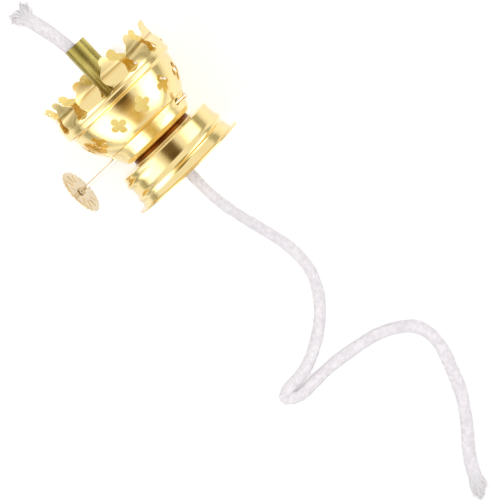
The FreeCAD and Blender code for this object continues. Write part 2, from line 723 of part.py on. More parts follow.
def thumb_wheel():
    """Scalloped disc with raised rays on its outer face."""
    body = washer("thumb_wheel", "wheel_radius", "shaft_radius + fit_clearance", "wheel_reach",
                  "wheel_thickness")
    scallop = new_sketch(body, "scallop", "XY_Plane", lift="wheel_reach - overrun")
    circle(scallop, "scallop_radius", x="wheel_radius + scallop_radius - scallop_depth")
    cut = pocket(body, scallop, "wheel_thickness + 2 * overrun", reverse=True)
    round_copies(body, cut, "scallop_count")
    ray = new_sketch(body, "ray", "XY_Plane", lift="wheel_reach + wheel_thickness")
    outline(ray, [
        ("ray_start", "-ray_half_width"),
        ("ray_start + ray_length", "-ray_half_width"),
        ("ray_start + ray_length", "ray_half_width", HALF_CIRCLE_SHARE),
        ("ray_start", "ray_half_width"),
    ])
    raised = pad(body, ray, "ray_relief")
    round_copies(body, raised, "ray_count")
    return body


def wheel_collar():
    """Boss behind the thumb wheel."""
    return washer("wheel_collar", "collar_radius", "shaft_radius + fit_clearance",
                  "wheel_reach - collar_length", "collar_length")


def stub_angle():
    """Angle by which the stub leans at its end, for an arc that starts along the axis."""
    return 2 * math.degrees(math.atan2(size("wick_lean"), size("wick_stub_rise")))


def wick_core():
    """Sound wick in the tube, with the stub that leans over above it."""
    body = new_body("wick_core")
    section = new_sketch(body, "wick_section", "XY_Plane", lift="tube_bottom")
    circle(section, "wick_radius", x="wick_offset")
    route = new_sketch(body, "wick_route", "XZ_Plane")
    path(route, [
        ("wick_offset", "tube_bottom"),
        ("wick_offset", STUB_BEND),
        ("wick_offset + wick_lean", STUB_END, "-" + STUB_BOW_SHARE),
    ])
    document.recompute()
    pipe = body.newObject("PartDesign::AdditivePipe", "wick_pipe")
    pipe.Profile = section
    pipe.Spine = (route, ["Edge1", "Edge2"])
    body.Tip = pipe
    document.recompute()
    return body


def tuft(label, stations):
    """Frayed end: a loft through ovals. Each station is its height, half-width and half-depth."""
    ovals = []
    for index, (height, half_width, half_depth) in enumerate(stations):
        oval = document.addObject("Part::Ellipse", "%s_oval_%d" % (label, index))
        tie(oval, "MajorRadius", half_width)
        tie(oval, "MinorRadius", half_depth)
        tie(oval, "Placement.Base.z", height)
        ovals.append(oval)
    document.recompute()
    loft = document.addObject("Part::Loft", label)
    loft.Sections = ovals
    loft.Solid = True
    loft.Ruled = False
    loft.Label = label
    document.recompute()
    return loft


def rounded_path(points):
    """Straight runs joined by tangent arcs, each as large as its two runs allow."""
    edges = []
    radii = []
    start = points[0]
    for before, corner, after in zip(points, points[1:], points[2:]):
        back = before - corner
        ahead = after - corner
        half_turn = (math.pi - back.getAngle(ahead)) / 2
        setback = RUN_SHARE * min(back.Length, ahead.Length)
        radii.append(setback / math.tan(half_turn))
        entry = corner + back.normalize() * setback
        leave = corner + ahead.normalize() * setback
        middle = (back + ahead).normalize()
        crown = corner + middle * (radii[-1] / math.cos(half_turn) - radii[-1])
        edges.append(Part.LineSegment(start, entry).toShape())
        edges.append(Part.Arc(entry, crown, leave).toShape())
        start = leave
    edges.append(Part.LineSegment(start, points[-1]).toShape())
    return Part.Wire(edges), radii


def wick_tail(points):
    """Loose length of the wick, a tube along its hand-laid route."""
    route, radii = rounded_path(points)
    start = points[1] - points[0]
    section = Part.Wire([Part.Circle(points[0], start, size("wick_radius")).toShape()])
    tube = route.makePipeShell([section], True, False)
    expected = math.pi * size("wick_radius") ** 2 * route.Length
    filled = tube.Volume / expected
    print("wick tail", round(route.Length, 1), "mm long; volume", round(filled, 4), "of expected")
    print("bend radii", [round(radius, 1) for radius in radii])
    feature = document.addObject("Part::Feature", "wick_tail")
    feature.Shape = tube
    feature.Label = "wick_tail"
    return feature


crown = crown_basket()
cap = screw_cap()
upright = [crown, air_plate(), base_cup(), neck_ring(), deck_plate(), cap]
upright += [wick_tube(), spur_bracket(), wick_core()]
on_shaft = [raiser_shaft(), spur_wheel(), thumb_wheel(), wheel_collar()]
top_tuft = tuft("wick_tuft_top", [
    ("0", "wick_radius", "wick_radius"),
    ("fray_length * fray_swell_share", "fray_half_width", "fray_half_width * fray_depth_share"),
    ("fray_length", "fray_end_half", "fray_end_half * fray_depth_share"),
])
tail_tuft = tuft("wick_tuft_tail", [
    ("0", "wick_radius", "wick_radius"),
    ("tail_fray_length * fray_swell_share", "tail_fray_half_width",
     "tail_fray_half_width * tail_fray_depth_share"),
    ("tail_fray_length", "tail_fray_end_half", "tail_fray_end_half * tail_fray_depth_share"),
])

# The burner lies on the bead of its basket, with the middle of a gap between two prongs on top
rest_height = -min(piece.Shape.optimalBoundingBox(True, False).YMin for piece in (crown, cap))
on_its_side = Rotation(Vector(0, 1, 0), Vector(0, 0, 1), Vector(1, 0, 0), "ZXY")
lying = Placement(Vector(0, 0, rest_height), on_its_side)

# The shaft's line passes beside the tube and slopes down towards the thumb wheel
slope = math.radians(size("raiser_slope"))
along = Vector(math.cos(slope), -math.sin(slope), 0)
outward = Vector(math.sin(slope), math.cos(slope), 0)
shaft_foot = outward * size("raiser_offset") + Vector(0, 0, size("raiser_height"))
shaft_place = Placement(shaft_foot, Rotation(outward, Vector(0, 0, 1), along, "ZXY"))

# The stub's end leans over in the plane of the axis and the thumb wheel
stub_end = Vector(size("wick_offset + wick_lean"), 0, size(STUB_END))
stub_place = Placement(stub_end, Rotation(Vector(0, 1, 0), stub_angle()))

for piece in upright:
    piece.Placement = lying
for piece in on_shaft:
    piece.Placement = lying * shaft_place
top_tuft.Placement = lying * stub_place
document.recompute()

# The origin lies on the table under the middle of the box round all but the loose wick
standing = upright + on_shaft + [top_tuft]
boxes = [piece.Shape.optimalBoundingBox(True, False) for piece in standing]
middle_x = (min(box.XMin for box in boxes) + max(box.XMax for box in boxes)) / 2
middle_y = (min(box.YMin for box in boxes) + max(box.YMax for box in boxes)) / 2
origin = Placement(Vector(-middle_x, -middle_y, 0), Rotation())
for piece in standing:
    piece.Placement = origin * piece.Placement

tail_start = Vector(size("tube_bottom"), size("wick_offset"), rest_height)
tail_second = tail_start - Vector(size("tail_first_run"), 0, 0)
tail_rest = [Vector(*point) for point in TAIL_POINTS]
route = [origin.multVec(point) for point in [tail_start, tail_second] + tail_rest]
tail = wick_tail(route)
tail_direction = route[-1] - route[-2]
side = Vector(0, 0, 1).cross(tail_direction)
tail_tuft.Placement = Placement(route[-1], Rotation(side, Vector(0, 0, 1), tail_direction, "ZXY"))
document.recompute()

pieces = standing + [tail, tail_tuft]
for thing in document.Objects:
    if "Invalid" in thing.State or "Error" in thing.State:
        raise RuntimeError("%s failed: %s" % (thing.Label, thing.State))
for piece in pieces:
    if piece.Shape.isNull() or not piece.Shape.isValid():
        raise RuntimeError("%s has no valid shape" % piece.Label)

print("axis height", round(rest_height, 3), "origin at", round(middle_x, 3), round(middle_y, 3))
os.makedirs("parts", exist_ok=True)
for piece in pieces:
    piece.Shape.exportStep("parts/%s.step" % piece.Label)
    print("%-16s %9.2f mm3, %d solid" % (piece.Label, piece.Shape.Volume, len(piece.Shape.Solids)))
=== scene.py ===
"""Oil lamp burner lying on a white table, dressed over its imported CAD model.

Sizes of the burner are in millimetres in its own upright frame: z runs from the flange to the wick's end,
x towards the thumb wheel and y away from the table. place() turns such points into the row's metres.
"""

import math

import bmesh
import bpy
import numpy as np
from mathutils import Euler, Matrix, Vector


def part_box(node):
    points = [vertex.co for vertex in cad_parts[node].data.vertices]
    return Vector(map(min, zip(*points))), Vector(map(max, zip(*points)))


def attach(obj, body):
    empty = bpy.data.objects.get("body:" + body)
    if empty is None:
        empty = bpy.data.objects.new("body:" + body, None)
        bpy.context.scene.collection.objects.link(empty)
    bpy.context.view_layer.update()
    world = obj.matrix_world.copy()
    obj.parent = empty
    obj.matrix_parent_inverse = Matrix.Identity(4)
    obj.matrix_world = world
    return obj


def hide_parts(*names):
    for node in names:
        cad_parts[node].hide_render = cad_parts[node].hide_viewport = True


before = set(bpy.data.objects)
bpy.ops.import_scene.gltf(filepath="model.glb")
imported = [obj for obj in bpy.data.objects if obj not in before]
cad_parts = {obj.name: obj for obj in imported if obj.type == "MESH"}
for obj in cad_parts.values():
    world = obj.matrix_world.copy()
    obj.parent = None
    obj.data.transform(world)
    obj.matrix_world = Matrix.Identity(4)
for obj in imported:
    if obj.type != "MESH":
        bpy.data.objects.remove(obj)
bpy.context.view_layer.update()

FLANGE_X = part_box("screw_cap")[0].x
TUBE_LOW, TUBE_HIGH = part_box("wick_tube")
AXIS_Y = (TUBE_LOW.y + TUBE_HIGH.y) / 2
AXIS_Z = (TUBE_LOW.z + TUBE_HIGH.z) / 2
MM = 0.001
FULL_TURN = 2 * math.pi


def place(local):
    """Upright millimetres to the row's metres: X = flange + z, Y = axis + x, Z = axis + y."""
    x, y, z = np.moveaxis(np.asarray(local, float), -1, 0)
    return np.stack([FLANGE_X + z * MM, AXIS_Y + x * MM, AXIS_Z + y * MM], -1)


# Camera: nearly straight above the table, as in the photograph
CAMERA_PLACE = (0.007042, -0.079292, 0.561499)
CAMERA_TURN = (-10.208, 1.575, -133.604)
camera_data = bpy.data.cameras.new("camera")
camera_data.lens = 161.17
camera_data.sensor_width = 36
camera_data.clip_start = 0.01
camera = bpy.data.objects.new("camera", camera_data)
camera.location = CAMERA_PLACE
camera.rotation_euler = Euler([math.radians(a) for a in CAMERA_TURN])
bpy.context.scene.collection.objects.link(camera)
bpy.context.scene.camera = camera


# Wick below the burner: control points of its line in metres from the flange's middle, Z from the table
TAIL_LINE = (
    (0.0055, 0.0008, 0.016953), (-0.0020, 0.0008, 0.016953), (-0.0095, 0.0009, 0.0156),
    (-0.0170, 0.0003, 0.0106), (-0.0246, -0.0009, 0.0046), (-0.0326, -0.0025, 0.0015),
    (-0.0408, -0.0026, 0.0015), (-0.0480, 0.0009, 0.0015), (-0.0536, 0.0064, 0.0015),
    (-0.0576, 0.0127, 0.0015), (-0.0596, 0.0179, 0.0015), (-0.0597, 0.0235, 0.0015),
    (-0.0611, 0.0262, 0.0015), (-0.0636, 0.0226, 0.0015), (-0.0631, 0.0168, 0.0015),
    (-0.0629, 0.0110, 0.0015), (-0.0637, 0.0037, 0.0015), (-0.0651, -0.0042, 0.0015),
    (-0.0690, -0.0111, 0.0015), (-0.0737, -0.0132, 0.0015), (-0.0788, -0.0129, 0.0015),
    (-0.0843, -0.0109, 0.0015), (-0.0907, -0.0086, 0.0015), (-0.0980, -0.0039, 0.0015),
    (-0.1050, 0.0020, 0.0015), (-0.1103, 0.0045, 0.0015),
)


def spline_points(points):
    """Points along the smooth line that has these control points."""
    curve = bpy.data.curves.new("line", "CURVE")
    curve.dimensions = "3D"
    spline = curve.splines.new("NURBS")
    spline.points.add(len(points) - 1)
    spline.points.foreach_set("co", [c for p in points for c in (*p, 1)])
    spline.order_u = 3
    spline.use_endpoint_u = True
    spline.resolution_u = 24
    carrier = bpy.data.objects.new("line", curve)
    bpy.context.scene.collection.objects.link(carrier)
    mesh = bpy.data.meshes.new_from_object(carrier.evaluated_get(bpy.context.evaluated_depsgraph_get()))
    found = np.empty(len(mesh.vertices) * 3)
    mesh.vertices.foreach_get("co", found)
    bpy.data.objects.remove(carrier)
    found = found.reshape(-1, 3)
    apart = np.linalg.norm(np.diff(found, axis=0), axis=1) > 1e-6
    return found[np.concatenate([[True], apart])]


# Mesh building
def grid_quads(rows, columns, rows_wrap=False, columns_wrap=False):
    """Corner numbers of the quads between the points of a grid."""
    i = np.arange(rows if rows_wrap else rows - 1)[:, None]
    j = np.arange(columns if columns_wrap else columns - 1)[None, :]
    below, right = (i + 1) % rows, (j + 1) % columns
    corners = (i * columns + j, i * columns + right, below * columns + right, below * columns + j)
    return np.stack(np.broadcast_arrays(*corners), -1).reshape(-1, 4)


def make_piece(name, body, finish, sheets, replaces=(), wall=0.0, edge=0.0, inside=None):
    """One object of grids of points in row metres, each (points, rows_wrap, columns_wrap), merged where they
    meet. wall gives an open sheet its thickness inwards and edge rounds its cut edges, both in millimetres.
    inside is the finish of a walled sheet's inner face where it differs."""
    vertices, faces, count = [], [], 0
    for points, rows_wrap, columns_wrap in sheets:
        points = np.asarray(points)
        grid_sets = points[None] if points.ndim == 3 else points
        for grid in grid_sets:
            vertices.append(grid.reshape(-1, 3))
            faces.append(grid_quads(*grid.shape[:2], rows_wrap, columns_wrap) + count)
            count += grid.shape[0] * grid.shape[1]
    mesh = bpy.data.meshes.new(name)
    mesh.from_pydata(np.concatenate(vertices), [], np.concatenate(faces))
    shell = bmesh.new()
    shell.from_mesh(mesh)
    bmesh.ops.remove_doubles(shell, verts=shell.verts, dist=2e-6)
    bmesh.ops.dissolve_degenerate(shell, edges=shell.edges, dist=1e-7)
    bmesh.ops.recalc_face_normals(shell, faces=shell.faces)
    middle = sum((v.co for v in shell.verts), Vector()) / len(shell.verts)
    if sum(f.calc_area() * f.normal.dot(f.calc_center_median() - middle) for f in shell.faces) < 0:
        bmesh.ops.reverse_faces(shell, faces=shell.faces)
    shell.to_mesh(mesh)
    shell.free()
    mesh.polygons.foreach_set("use_smooth", np.ones(len(mesh.polygons), bool))
    mesh.materials.append(finish)
    if inside:
        mesh.materials.append(inside)
    piece = bpy.data.objects.new(name, mesh)
    bpy.context.scene.collection.objects.link(piece)
    if wall:
        solidify = piece.modifiers.new("wall", "SOLIDIFY")
        solidify.thickness = wall * MM
        solidify.offset = -1
        solidify.use_even_offset = True
        solidify.material_offset = 1 if inside else 0
    if edge:
        bevel = piece.modifiers.new("edge", "BEVEL")
        bevel.width = edge * MM
        bevel.segments = 2
        bevel.limit_method = "ANGLE"
        bevel.angle_limit = math.radians(40)
        bevel.harden_normals = True
    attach(piece, body)
    if replaces:
        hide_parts(*replaces)
    return piece


def traced(corners, step=0.25):
    """Points along straight and bowed runs through corners (r, z) or (r, z, bow). The run that ends at a
    corner stands out to its right by bow times its chord: P(t) = A + t D + 4 bow t (1 - t) N, N being D
    turned right."""
    found = [np.array([corners[0][:2]], float)]
    for before, after in zip(corners, corners[1:]):
        start, end = np.array(before[:2], float), np.array(after[:2], float)
        chord = end - start
        t = np.linspace(0, 1, max(2, int(np.ceil(np.hypot(*chord) / step))) + 1)[1:, None]
        bow = after[2] if len(after) > 2 else 0.0
        found.append(start + t * chord + 4 * bow * t * (1 - t) * np.array([chord[1], -chord[0]]))
    return np.concatenate(found)


def softened(points, passes, closed=False):
    """Corners rounded: each pass moves every point halfway to the middle of its neighbours."""
    for _ in range(passes):
        moved = (np.roll(points, 1, 0) + 2 * points + np.roll(points, -1, 0)) / 4
        if not closed:
            moved[0], moved[-1] = points[0], points[-1]
        points = moved
    return points


def round_the_axis(radius, angle, height):
    """Upright points from cylinder coordinates: (r cos a, r sin a, z)."""
    radius, angle, height = np.broadcast_arrays(radius, angle, height)
    return np.stack([radius * np.cos(angle), radius * np.sin(angle), height], -1)


def turned(profile, columns=192):
    """Grid of a profile (r, z) turned about the burner's axis."""
    angle = np.arange(columns) * FULL_TURN / columns
    return place(round_the_axis(profile[:, :1], angle, profile[:, 1:]))


# Raiser: its line runs beside the tube, u along it, n across it. The bearing is the way from the burner's
# axis to the line's nearest point
SLOPE = math.radians(11.5)
RAISER_BEARING = math.radians(90) - SLOPE
RAISER_OFFSET, RAISER_HEIGHT = 4.2, 14.0


def on_raiser(across, up, along):
    """Row metres of points about the raiser's line: (offset + across) n + along u, up from its height."""
    across, up, along = np.broadcast_arrays(across, up, along)
    far = RAISER_OFFSET + across
    x = far * math.sin(SLOPE) + along * math.cos(SLOPE)
    y = far * math.cos(SLOPE) - along * math.sin(SLOPE)
    return place(np.stack([x, y, RAISER_HEIGHT + up], -1))


def turned_on_raiser(profile, columns=64):
    """Grid of a profile (r, s) turned about the raiser's line."""
    angle = np.arange(columns) * FULL_TURN / columns
    return on_raiser(profile[:, :1] * np.cos(angle), profile[:, :1] * np.sin(angle), profile[:, 1:])


def pierced(outline, hole, rings=6):
    """Grid between a hole and an outline with as many points: Q + s (P - Q)."""
    s = np.linspace(0, 1, rings + 1)[:, None, None]
    return hole + s * (outline - hole)


def frame_points(half_width, half_height, wide, high):
    """Closed outline of a rectangle from its lower right corner, upwards first, with wide points on each
    level side and high points on each upright one."""
    across = np.linspace(-1, 1, wide, endpoint=False)
    along = np.linspace(-1, 1, high, endpoint=False)
    x = np.concatenate([np.ones(high), -across, -np.ones(high), across]) * half_width
    z = np.concatenate([along, np.ones(wide), -along, -np.ones(wide)]) * half_height
    return np.stack([x, z], -1)


def smooth_step(value, low, high):
    """0 below low, 1 above high and 3 t^2 - 2 t^3 between."""
    t = np.clip((value - low) / (high - low), 0, 1)
    return t * t * (3 - 2 * t)


def plateau(value, rise, fall):
    """1 between a rise and a fall, each (from, to), and 0 outside them."""
    return smooth_step(value, *rise) * (1 - smooth_step(value, *fall))


def wander(count, spacing, seed):
    """Smooth seeded noise from -1 to 1: a random value every `spacing` samples, eased between them."""
    knots = np.random.default_rng(seed).uniform(-1, 1, count // spacing + 3)
    at = np.arange(count) / spacing
    low = at.astype(int)
    return knots[low] + (knots[low + 1] - knots[low]) * smooth_step(at - low, 0, 1)


# Materials
def srgb(code):
    """Linear colour of a hex code."""
    parts = [int(code[i:i + 2], 16) / 255 for i in (1, 3, 5)]
    return tuple(c / 12.92 if c <= 0.04045 else ((c + 0.055) / 1.055) ** 2.4 for c in parts) + (1.0,)


def add(tree, kind, settings=None, inputs=None):
    """A node with its settings and its inputs, which are constants or other nodes' outputs."""
    made = tree.nodes.new(kind)
    for name, value in (settings or {}).items():
        setattr(made, name, value)
    for name, value in (inputs or {}).items():
        if isinstance(value, bpy.types.NodeSocket):
            tree.links.new(value, made.inputs[name])
        else:
            made.inputs[name].default_value = value
    return made


def new_material(name):
    """An empty material and its node tree."""
    made = bpy.data.materials.new(name)
    made.use_nodes = True
    made.node_tree.nodes.clear()
    return made, made.node_tree


def close_material(tree, shader):
    """The material's output, which takes this shader."""
    add(tree, "ShaderNodeOutputMaterial", inputs={"Surface": shader})


def ramp(tree, factor, stops):
    """Colour ramp through (place, hex code)."""
    made = add(tree, "ShaderNodeValToRGB", inputs={"Fac": factor})
    elements = made.color_ramp.elements
    while len(elements) < len(stops):
        elements.new(1.0)
    for element, (at, code) in zip(elements, stops):
        element.position = at
        element.color = srgb(code)
    return made.outputs["Color"]


def noise(tree, sizes, detail=2.0, roughness=0.5):
    """Noise on Object coordinates, whose patches have these millimetre sizes along the row's three axes."""
    space = add(tree, "ShaderNodeTexCoord").outputs["Object"]
    scale = [1 / (size * MM) for size in sizes]
    scaled = add(tree, "ShaderNodeMapping", inputs={"Vector": space, "Scale": scale}).outputs["Vector"]
    return add(tree, "ShaderNodeTexNoise", inputs={
        "Vector": scaled, "Scale": 1.0, "Detail": detail, "Roughness": roughness,
    }).outputs["Fac"]


def bumped(tree, layers):
    """Normals with bump layers (height, depth in mm) on top of each other."""
    normal = None
    for height, depth in layers:
        inputs = {"Height": height, "Distance": depth * MM, "Strength": 1.0}
        if normal:
            inputs["Normal"] = normal
        normal = add(tree, "ShaderNodeBump", inputs=inputs).outputs["Normal"]
    return normal


def value_range(tree, value, low, high):
    """0 to 1 mapped to low to high."""
    mapped = add(tree, "ShaderNodeMapRange", inputs={"Value": value, "To Min": low, "To Max": high})
    return mapped.outputs["Result"]


def along_burner(tree, low, high):
    """0 at a height on the burner in millimetres and 1 at a higher one."""
    space = add(tree, "ShaderNodeTexCoord").outputs["Object"]
    along = add(tree, "ShaderNodeSeparateXYZ", inputs={"Vector": space}).outputs["X"]
    return add(tree, "ShaderNodeMapRange", inputs={
        "Value": along, "From Min": FLANGE_X + low * MM, "From Max": FLANGE_X + high * MM,
    }).outputs["Result"]


def brass(name, tones, rough, lines, line_depth, wave_depth, lacquer=0.0, bands=None):
    """Worked sheet brass: its tone drifts over about 6 mm, fine lines follow how it was worked, haze comes in
    2 mm patches, and a shallow waviness 6 mm long bends the reflections. tones are hex codes from dull to
    clear, and bands takes their place with (height on the burner in millimetres, hex code). rough is (low,
    high), and lines holds the lines' sizes and line_depth and wave_depth their depths in millimetres."""
    made, tree = new_material(name)
    if bands:
        low, high = bands[0][0], bands[-1][0]
        stops = [((height - low) / (high - low), code) for height, code in bands]
        colour = ramp(tree, along_burner(tree, low, high), stops)
    else:
        colour = ramp(tree, noise(tree, (6.25, 6.25, 6.25), 3.0), ((0.3, tones[0]), (0.7, tones[1])))
    fine = noise(tree, lines)
    haze = noise(tree, (1.923, 1.923, 1.923), 5.0, 0.7)
    wave = noise(tree, (5.882, 5.882, 5.882))
    shader = add(tree, "ShaderNodeBsdfPrincipled", inputs={
        "Base Color": colour,
        "Metallic": 1.0,
        "Roughness": value_range(tree, haze, *rough),
        "Normal": bumped(tree, [(wave, wave_depth), (fine, line_depth)]),
        "Coat Weight": lacquer,
        "Coat Roughness": 0.15,
        "Coat IOR": 1.5,
    })
    close_material(tree, shader.outputs["BSDF"])
    return made


# Sizes in millimetres of the work's traces along the burner's axis and across it both ways: spinning leaves
# lines round the axis and drawing lines along it, and a pressing has an even grain. The real lines are too
# fine to show, so they are drawn wider than they are
SPUN_LINES = (0.3846, 16.67, 16.67)
DRAWN_LINES = (25.0, 0.3846, 0.3846)
PRESSED_GRAIN = (1.111, 1.111, 1.111)

# Spun lacquered brass: clear pale gold under a thin soft gloss
LACQUER = 0.4
LACQUERED = brass("lacquered_spun_brass", ("#f3d993", "#f8e1a4"), (0.08, 0.2), SPUN_LINES, 0.0012, 0.045,
                  LACQUER)
# The crown's outside: the same finish, with painted shade in the crease under its tabs: a brown band that
# stands in for the dark of the bend
CREASE_SHADED_BRASS = brass("lacquered_brass_painted_crease_shade", None, (0.08, 0.2), SPUN_LINES, 0.0012, 0.045, LACQUER, bands=(
    (29.5, "#f6dd9c"), (30.1, "#f0cd83"), (30.4, "#d0ad6a"), (30.55, "#d0ad6a"), (30.8, "#f6dd9c")))
# The same sheet's inner face, bare of lacquer: a deeper yellow
BARE_INSIDE = brass("bare_spun_brass", ("#efcf76", "#f3d98a"), (0.2, 0.35), SPUN_LINES, 0.0012, 0.03)
# Drawn tube and the pressings on it: a duller, greener yellow with lengthwise lines
DRAWN = brass("drawn_brass", ("#93843f", "#c0b26c"), (0.2, 0.36), DRAWN_LINES, 0.003, 0.03)
# Draught plate inside the basket: clean pale yellow
PRESSED = brass("pressed_brass", ("#ebd07c", "#f1da8a"), (0.3, 0.42), PRESSED_GRAIN, 0.001, 0.01)
# Plated raiser parts: bright and pale
BRIGHT = brass("bright_brass", ("#e6d8bd", "#efe3cd"), (0.1, 0.2), PRESSED_GRAIN, 0.0012, 0.008)
# Neck ring, plain brass on the washer and dark amber above it: painted shade of the groove between the cup
# and the cap
GROOVE_SHADED_BRASS = brass("neck_ring_brass_painted_groove_shade", None, (0.25, 0.4), PRESSED_GRAIN, 0.002, 0.01, bands=(
    (9.46, "#f4dfa6"), (9.54, "#7a4212")))


def cotton(name, tones, through):
    """Bleached cotton: off-white and soft, with a fuzz of fibres and faint greyer hollows about a millimetre
    wide. Fibres are too fine to show, so they are drawn a third of a millimetre wide. through is how deep
    light soaks in, in millimetres."""
    made, tree = new_material(name)
    fibres = noise(tree, (0.3571, 0.3571, 0.3571), 3.0, 0.7)
    clouds = noise(tree, (1.111, 1.111, 1.111), 3.0, 0.6)
    shader = add(tree, "ShaderNodeBsdfPrincipled", inputs={
        "Base Color": ramp(tree, clouds, ((0.3, tones[0]), (0.7, tones[1]))),
        "Roughness": 0.92,
        "Normal": bumped(tree, [(fibres, 0.09)]),
        "Sheen Weight": 0.25,
        "Sheen Roughness": 0.6,
        "Subsurface Weight": 0.25,
        "Subsurface Radius": (1.0, 0.9, 0.85),
        "Subsurface Scale": through * MM,
    })
    close_material(tree, shader.outputs["BSDF"])
    return made


COTTON = cotton("bleached_cotton_braid", ("#e0dadf", "#f6f2f5"), 0.6)
# Loose yarn ends: a paler copy of the cotton, painted lighter to offset the shade between the yarns, and
# light soaks deeper into them
FRAYED = cotton("bleached_cotton_yarn", ("#fbf3f8", "#ffffff"), 2.5)


# Crown basket: one spun sheet with twelve quatrefoils and twelve sprung prongs, its floor on the cup's rim
CUP_RIM = 15.0
PRONG_COUNT = 12
PITCH = FULL_TURN / PRONG_COUNT
CROWN_TURN = math.radians(2.3)
HOLE_RADIUS = 8.9
BAND_LOW, BAND_HIGH, FOIL_MIDDLE = 16.8, 22.5, 19.65
PRONG_FOOT, PRONG_TIP = 26.5, 34.3
# How far each prong's tip leans outwards and sways along the rim in millimetres, and how its crease slants
# and its face twists, counted from the thumb wheel away from the table
PRONG_BENDS = (
    (-0.1, 0.0, 0.05, 0.06), (-0.2, -0.5, 0.05, 0.05), (-0.2, 0.0, 0.16, -0.19), (-0.1, 0.0, -0.05, -0.04),
    (-0.15, 0.2, 0.1, -0.14), (0.0, 0.1, -0.05, 0.1), (-0.25, 0.1, 0.1, -0.08), (-0.2, -0.2, -0.06, 0.05),
    (-0.1, 0.2, 0.08, 0.1), (-0.2, 0.9, -0.1, 0.08), (-0.15, 1.2, 0.05, -0.1), (-0.1, 0.3, 0.0, 0.05),
)
# Outline of a prong above the round bottoms of its gaps, as (height, half width)
PRONG_EDGE = (
    (27.3, 2.55), (28.2, 2.92), (29.0, 3.26), (29.6, 3.36), (30.3, 3.27), (30.9, 3.0), (31.4, 2.6),
    (31.8, 2.15), (32.1, 1.7), (32.35, 1.39), (32.6, 1.26), (32.9, 1.32), (33.0, 1.35),
)
basket_wall = softened(traced([
    (HOLE_RADIUS, CUP_RIM), (12.1, CUP_RIM), (13.72, 17.15, 0.024), (15.8, 24.2, 0.063), (16.2, 24.45),
    (16.88, 25.5, 0.26), (16.74, 26.3, 0.12), (16.93, 26.9), (16.6, 28.5, 0.02), (15.94, 29.95, 0.05),
    (15.88, 30.6, 0.03), (16.12, 31.4, -0.02), (17.0, 34.3, -0.04),
], 0.08), 4)


def basket_radius(height):
    """The basket's outside radius at a height."""
    return np.interp(height, basket_wall[:, 1], basket_wall[:, 0])


def prong_half(height):
    """Half a prong's width: the gaps' round bottoms at its foot, then a smooth curve through its edge's
    points."""
    bottom_round = 2.425
    drop = np.clip(PRONG_FOOT + bottom_round - height, -bottom_round, bottom_round)
    low = np.pi * basket_radius(height) / PRONG_COUNT - np.sqrt(bottom_round ** 2 - drop ** 2)
    edge = np.array(PRONG_EDGE)
    fine = np.linspace(edge[0, 0], edge[-1, 0], 200)
    curve = softened(np.stack([fine, np.interp(fine, edge[:, 0], edge[:, 1])], -1), 60)
    return np.where(height < edge[0, 0], low, np.interp(height, curve[:, 0], curve[:, 1]))


def quatrefoil(points_per_lobe, half_width=2.2, half_height=2.3, corner=0.72):
    """Outline of four round lobes, from the inner corner at the lower right, upwards first. Each lobe is an
    arc through two inner corners and its own outermost point."""
    side = []
    for reach in (half_width, half_height):
        depth = reach - corner
        radius = (corner ** 2 + depth ** 2) / (2 * depth)
        spread = math.pi - math.asin(corner / radius)
        turn = np.linspace(-spread, spread, points_per_lobe, endpoint=False)
        side.append(np.stack([reach - radius + radius * np.cos(turn), radius * np.sin(turn)], -1))
    right, top = side
    top = np.stack([-top[:, 1], top[:, 0]], -1)
    return np.concatenate([right, top, -right, -top])


def crown_sheets():
    """Sheets whose radius is the basket's at z: turned ones below and above the pierced band, cells of the
    band about their quatrefoils, and prongs, half width times -1 to 1 across, bent towards their tips."""
    per_pitch = 20
    columns = per_pitch * PRONG_COUNT
    angle = CROWN_TURN + np.arange(columns) * PITCH / per_pitch
    low_part = basket_wall[basket_wall[:, 1] < BAND_LOW - 0.05][::2]
    low_rows = np.concatenate([low_part, [[basket_radius(BAND_LOW), BAND_LOW]]])
    high_z = np.linspace(BAND_HIGH, PRONG_FOOT, 34)
    high_rows = np.stack([basket_radius(high_z), high_z], -1)
    sheets = [(place(round_the_axis(rows[:, :1], angle, rows[:, 1:])), False, True)
              for rows in (low_rows, high_rows)]

    # Pierced band, one cell to each quatrefoil, with its hole in radians across
    half_band = (BAND_HIGH - BAND_LOW) / 2
    cell = frame_points(PITCH / 2, half_band, per_pitch, per_pitch)
    foil = quatrefoil(per_pitch) / (basket_radius(FOIL_MIDDLE), 1)
    grid = pierced(cell, foil)
    centres = CROWN_TURN + (np.arange(PRONG_COUNT) + 0.5) * PITCH
    height = FOIL_MIDDLE + grid[..., 1]
    spread = centres[:, None, None] + grid[None, ..., 0]
    sheets.append((place(round_the_axis(basket_radius(height), spread, height)), False, True))

    # Prongs: strips as wide as the gaps leave them, closed round at the tip and bent almost flat across. Each
    # bend sets in over its own heights
    tip_round = 1.35
    flatness, flat_heights = 0.8, (27.0, 28.5)
    lean_heights, slant_heights = (27.5, PRONG_TIP), (28.0, 30.5)
    round_z = PRONG_TIP - tip_round
    edge_z = PRONG_EDGE[0][0]
    foot_z = PRONG_FOOT + (edge_z - PRONG_FOOT) * (1 - np.cos(np.linspace(0, math.pi / 2, 9)))[:-1]
    middle_z = np.linspace(edge_z, round_z, 34)[:-1]
    turn = np.linspace(0, math.pi / 2, 11)
    z = np.concatenate([foot_z, middle_z, round_z + tip_round * np.sin(turn)])
    half = prong_half(z)
    half[-len(turn):] = tip_round * np.cos(turn)
    u = np.linspace(-1, 1, per_pitch + 1)
    lean, sway, slant, twist = np.array(PRONG_BENDS).T[..., None, None]
    rise = smooth_step(z, *lean_heights)[:, None]
    across = half[:, None] * u + sway * rise
    crease_height = z[:, None] - slant * across * smooth_step(z, *slant_heights)[:, None]
    radius = basket_radius(crease_height) + lean * rise + twist * across * rise
    bearing = across / basket_radius(z)[:, None]
    flattened = flatness * smooth_step(z, *flat_heights)[:, None]
    radius = radius * (1 + flattened * (1 / np.cos(bearing) - 1))
    turn = centres[:, None, None] + bearing
    sheets.append((place(round_the_axis(radius, turn, z[:, None])), False, False))
    return sheets


